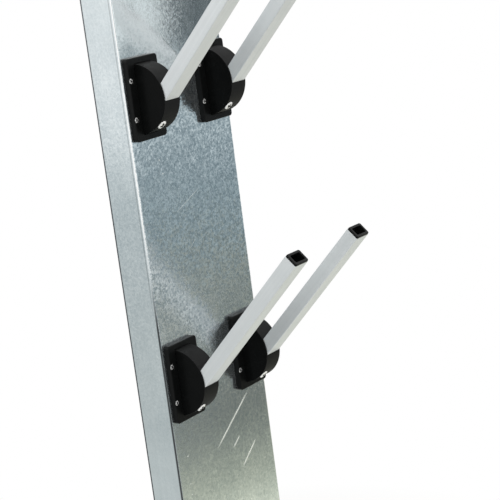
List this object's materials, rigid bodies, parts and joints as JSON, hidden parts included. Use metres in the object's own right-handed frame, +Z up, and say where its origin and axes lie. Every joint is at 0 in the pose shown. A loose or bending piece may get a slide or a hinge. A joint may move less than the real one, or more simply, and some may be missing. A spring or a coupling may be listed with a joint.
{
  "type": "ski boot dryer",
  "caption": "Wall-mounted boot dryer: a flat column of folded galvanised sheet blows warm air through rectangular aluminium tubes that swivel in black drums on its front.",
  "frame": {"origin": "middle of the column's back face, on the wall", "axes": "+Z up along the column, +Y into the wall, so the tubes point towards -Y and up"},
  "size_m": [0.231, 0.2847, 1.0183],
  "materials": {
    "galvanised_steel": "galvanised with a soft spangle",
    "black_plastic": "satin moulded",
    "aluminium": "satin extruded",
    "bright_steel": "zinc plated"
  },
  "bodies": {
    "column": {"column_shell": "galvanised_steel", "back_panel": "galvanised_steel", "top_cap": "galvanised_steel", "inlet_grille": "galvanised_steel", "blower_housing": "galvanised_steel", "heater_bracket_left": "galvanised_steel", "heater_bracket_right": "galvanised_steel", "case_screw_top_left": "bright_steel", "case_screw_top_right": "bright_steel", "case_screw_bottom_left": "bright_steel", "case_screw_bottom_right": "bright_steel", "heater_element": "bright_steel", "wheel_bearing": "black_plastic", "fan_motor": "black_plastic", "thermal_cutout": "black_plastic", "cable_gland": "black_plastic", "gland_nut": "black_plastic", "terminal_block": "black_plastic", "holder_plate_upper_left": "black_plastic", "pivot_pin_upper_left": "bright_steel", "plate_screw_upper_left_1": "bright_steel", "plate_screw_upper_left_2": "bright_steel", "plate_screw_upper_left_3": "bright_steel", "plate_screw_upper_left_4": "bright_steel", "holder_plate_upper_right": "black_plastic", "pivot_pin_upper_right": "bright_steel", "plate_screw_upper_right_1": "bright_steel", "plate_screw_upper_right_2": "bright_steel", "plate_screw_upper_right_3": "bright_steel", "plate_screw_upper_right_4": "bright_steel", "holder_plate_lower_left": "black_plastic", "pivot_pin_lower_left": "bright_steel", "plate_screw_lower_left_1": "bright_steel", "plate_screw_lower_left_2": "bright_steel", "plate_screw_lower_left_3": "bright_steel", "plate_screw_lower_left_4": "bright_steel", "holder_plate_lower_right": "black_plastic", "pivot_pin_lower_right": "bright_steel", "plate_screw_lower_right_1": "bright_steel", "plate_screw_lower_right_2": "bright_steel", "plate_screw_lower_right_3": "bright_steel", "plate_screw_lower_right_4": "bright_steel"},
    "arm_upper_left": {"swivel_drum_upper_left": "black_plastic", "air_tube_upper_left": "aluminium", "tube_plug_upper_left": "black_plastic", "clamp_screw_upper_left": "bright_steel"},
    "arm_upper_right": {"swivel_drum_upper_right": "black_plastic", "air_tube_upper_right": "aluminium", "tube_plug_upper_right": "black_plastic", "clamp_screw_upper_right": "bright_steel"},
    "arm_lower_left": {"swivel_drum_lower_left": "black_plastic", "air_tube_lower_left": "aluminium", "tube_plug_lower_left": "black_plastic", "clamp_screw_lower_left": "bright_steel"},
    "arm_lower_right": {"swivel_drum_lower_right": "black_plastic", "air_tube_lower_right": "aluminium", "tube_plug_lower_right": "black_plastic", "clamp_screw_lower_right": "bright_steel"},
    "wheel": {"blower_wheel": "bright_steel"}
  },
  "joints": [
    {"name": "arm_upper_left_fold", "type": "hinge", "parent": "column", "child": "arm_upper_left", "pos_m": [-0.0755, -0.05735, 0.295], "axis": [-1, 0, 0], "range_deg": [0, 45]},
    {"name": "arm_upper_right_fold", "type": "hinge", "parent": "column", "child": "arm_upper_right", "pos_m": [0.0755, -0.05735, 0.295], "axis": [-1, 0, 0], "range_deg": [0, 45]},
    {"name": "arm_lower_left_fold", "type": "hinge", "parent": "column", "child": "arm_lower_left", "pos_m": [-0.0755, -0.05735, -0.105], "axis": [-1, 0, 0], "range_deg": [0, 45]},
    {"name": "arm_lower_right_fold", "type": "hinge", "parent": "column", "child": "arm_lower_right", "pos_m": [0.0755, -0.05735, -0.105], "axis": [-1, 0, 0], "range_deg": [0, 45]},
    {"name": "wheel_spin", "type": "hinge", "parent": "column", "child": "wheel", "pos_m": [-0.03, -0.027, -0.436], "axis": [1, 0, 0], "continuous": true}
  ]
}
